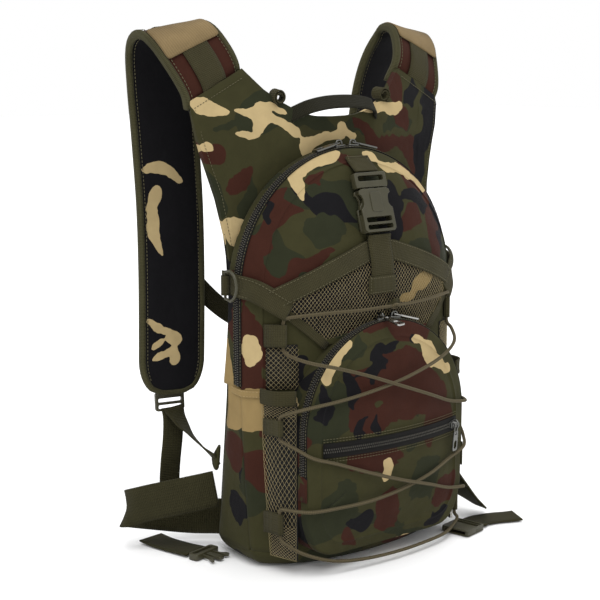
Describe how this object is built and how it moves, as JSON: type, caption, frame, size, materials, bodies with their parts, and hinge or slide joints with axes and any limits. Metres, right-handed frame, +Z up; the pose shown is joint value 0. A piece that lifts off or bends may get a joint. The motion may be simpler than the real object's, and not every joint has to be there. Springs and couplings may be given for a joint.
{
  "type": "hydration pack",
  "caption": "Small hydration backpack with a fold-down zipped top, laced front pocket, mesh side pockets, harness and waist belt.",
  "frame": {"origin": "on the flat base, below the plane of the yoke and on the pack's middle line", "axes": "+Z up along the pack, -Y towards the pack's front, +X to the viewer's right when facing the front"},
  "size_m": [0.4007, 0.2238, 0.5329],
  "materials": {
    "camo": "satin woven polyester, woodland pattern",
    "webbing": "matte ribbed olive webbing",
    "mesh": "open hexagonal knit",
    "lining": "coated black nylon",
    "plastic": "moulded olive acetal",
    "metal": "gunmetal plated",
    "zip": "black coil on woven tape",
    "cord": "braided elastic cord",
    "bladder": "clear blue film"
  },
  "bodies": {
    "pack": {"back_panel": "camo", "rear_gusset": "camo", "front_shell": "camo", "pocket_gusset": "camo", "pocket_front": "camo", "shoulder_strap_left": "camo", "shoulder_strap_right": "camo", "haul_handle": "webbing", "bungee_anchor": "webbing", "compression_web_left": "webbing", "adjuster_web_left": "webbing", "waist_belt_left": "webbing", "waist_tail_left": "webbing", "lace_loop_left_1": "webbing", "lace_loop_left_2": "webbing", "lace_loop_left_3": "webbing", "compression_web_right": "webbing", "adjuster_web_right": "webbing", "waist_belt_right": "webbing", "waist_tail_right": "webbing", "lace_loop_right_1": "webbing", "lace_loop_right_2": "webbing", "lace_loop_right_3": "webbing", "v_mesh_pocket": "mesh", "side_pocket_left": "mesh", "side_pocket_right": "mesh", "hydration_sleeve": "lining", "bladder_outlet": "plastic", "ladder_lock_left": "plastic", "ladder_lock_right": "plastic", "waist_buckle_female": "plastic", "main_zip": "zip", "pocket_zip": "zip", "face_zip": "zip", "bungee_cord": "cord", "water_bladder": "bladder"},
    "top_flap": {"top_flap": "camo", "v_webbing_apex": "webbing", "centre_webbing_upper": "webbing", "centre_webbing_lower": "webbing", "buckle_female": "plastic"},
    "buckle_tongue": {"buckle_male": "plastic"},
    "sternum_tongue": {"sternum_buckle_male": "plastic"},
    "bladder_cap": {"bladder_cap": "plastic"},
    "main_slider_left": {"main_slider_left": "metal"},
    "main_slider_right": {"main_slider_right": "metal"},
    "main_pull_left": {"main_pull_left": "metal"},
    "main_pull_right": {"main_pull_right": "metal"},
    "pocket_slider_left": {"pocket_slider_left": "metal"},
    "pocket_slider_right": {"pocket_slider_right": "metal"},
    "pocket_pull_left": {"pocket_pull_left": "metal"},
    "pocket_pull_right": {"pocket_pull_right": "metal"},
    "face_slider": {"face_slider": "metal"},
    "face_pull": {"face_pull": "metal"},
    "d_ring_left": {"d_ring_left": "plastic"},
    "d_ring_right": {"d_ring_right": "plastic"},
    "waist_buckle_male": {"waist_buckle_male": "plastic"},
    "sternum_strap": {"sternum_web_left": "webbing", "sternum_web_right": "webbing", "sternum_buckle_female": "plastic"}
  },
  "joints": [
    {"name": "top_flap_fold", "type": "hinge", "parent": "pack", "child": "top_flap", "pos_m": [0, -0.06, 0.3025], "axis": [1, 0, 0], "range_deg": [0, 62]},
    {"name": "centre_buckle_release", "type": "slide", "parent": "top_flap", "child": "buckle_tongue", "axis": [0, 0.3072, 0.9516], "range_m": [0, 0.022], "deforming": ["centre_webbing_upper"]},
    {"name": "main_zip_left", "type": "hinge", "parent": "pack", "child": "main_slider_left", "pos_m": [0, -0.006, 0.275], "axis": [0, -1, 0], "range_deg": [0, 61.3]},
    {"name": "main_pull_left_swing", "type": "hinge", "parent": "main_slider_left", "child": "main_pull_left", "pos_m": [-0.00905, -0.006, 0.41491], "axis": [0, 1, 0], "range_deg": [0, 100]},
    {"name": "main_zip_right", "type": "hinge", "parent": "pack", "child": "main_slider_right", "pos_m": [0, -0.006, 0.275], "axis": [0, 1, 0], "range_deg": [0, 61.3]},
    {"name": "main_pull_right_swing", "type": "hinge", "parent": "main_slider_right", "child": "main_pull_right", "pos_m": [0.00905, -0.006, 0.41491], "axis": [0, -1, 0], "range_deg": [0, 100]},
    {"name": "pocket_zip_left", "type": "hinge", "parent": "pack", "child": "pocket_slider_left", "pos_m": [0, -0.0675, 0.141], "axis": [0, -1, 0], "range_deg": [0, 40]},
    {"name": "pocket_pull_left_swing", "type": "hinge", "parent": "pocket_slider_left", "child": "pocket_pull_left", "pos_m": [-0.00566, -0.0675, 0.24905], "axis": [-0.9986, 0, -0.0523], "range_deg": [0, 66]},
    {"name": "pocket_zip_right", "type": "hinge", "parent": "pack", "child": "pocket_slider_right", "pos_m": [0, -0.0675, 0.141], "axis": [0, 1, 0], "range_deg": [0, 62]},
    {"name": "pocket_pull_right_swing", "type": "hinge", "parent": "pocket_slider_right", "child": "pocket_pull_right", "pos_m": [0.01225, -0.0675, 0.2485], "axis": [0, -1, 0], "range_deg": [0, 18]},
    {"name": "face_zip_run", "type": "hinge", "parent": "pack", "child": "face_slider", "pos_m": [0, 0.2084, 0.128], "axis": [0, 0, -1], "range_deg": [0, 19]},
    {"name": "face_pull_swing", "type": "hinge", "parent": "face_slider", "child": "face_pull", "pos_m": [0.08139, -0.08755, 0.128], "axis": [-0.9638, -0.2667, 0], "range_deg": [0, 100]},
    {"name": "d_ring_left_swing", "type": "hinge", "parent": "pack", "child": "d_ring_left", "pos_m": [-0.1425, 0.003, 0.284], "axis": [0, 0, -1], "range_deg": [0, 70]},
    {"name": "d_ring_right_swing", "type": "hinge", "parent": "pack", "child": "d_ring_right", "pos_m": [0.1425, 0.003, 0.284], "axis": [0, 0, 1], "range_deg": [0, 70]},
    {"name": "sternum_height", "type": "slide", "parent": "pack", "child": "sternum_strap", "axis": [0, 0, 1], "range_m": [-0.04, 0.05]},
    {"name": "sternum_release", "type": "slide", "parent": "sternum_strap", "child": "sternum_tongue", "axis": [-1, 0, 0], "range_m": [0, 0.018], "deforming": ["sternum_web_left"]},
    {"name": "waist_buckle_male_tilt", "type": "hinge", "parent": "pack", "child": "waist_buckle_male", "pos_m": [-0.14383, 0.04945, 0.0036], "axis": [-0.9707, -0.2402, 0], "range_deg": [0, 60]},
    {"name": "bladder_cap_twist", "type": "hinge", "parent": "pack", "child": "bladder_cap", "pos_m": [0, -0.0012, 0.264], "axis": [0, -1, 0], "range_deg": [0, 90]}
  ],
  "couplings": [
    {"joint": "main_zip_left", "follows": "top_flap_fold", "ratio": 0.9866},
    {"joint": "main_zip_right", "follows": "top_flap_fold", "ratio": 0.9866}
  ]
}
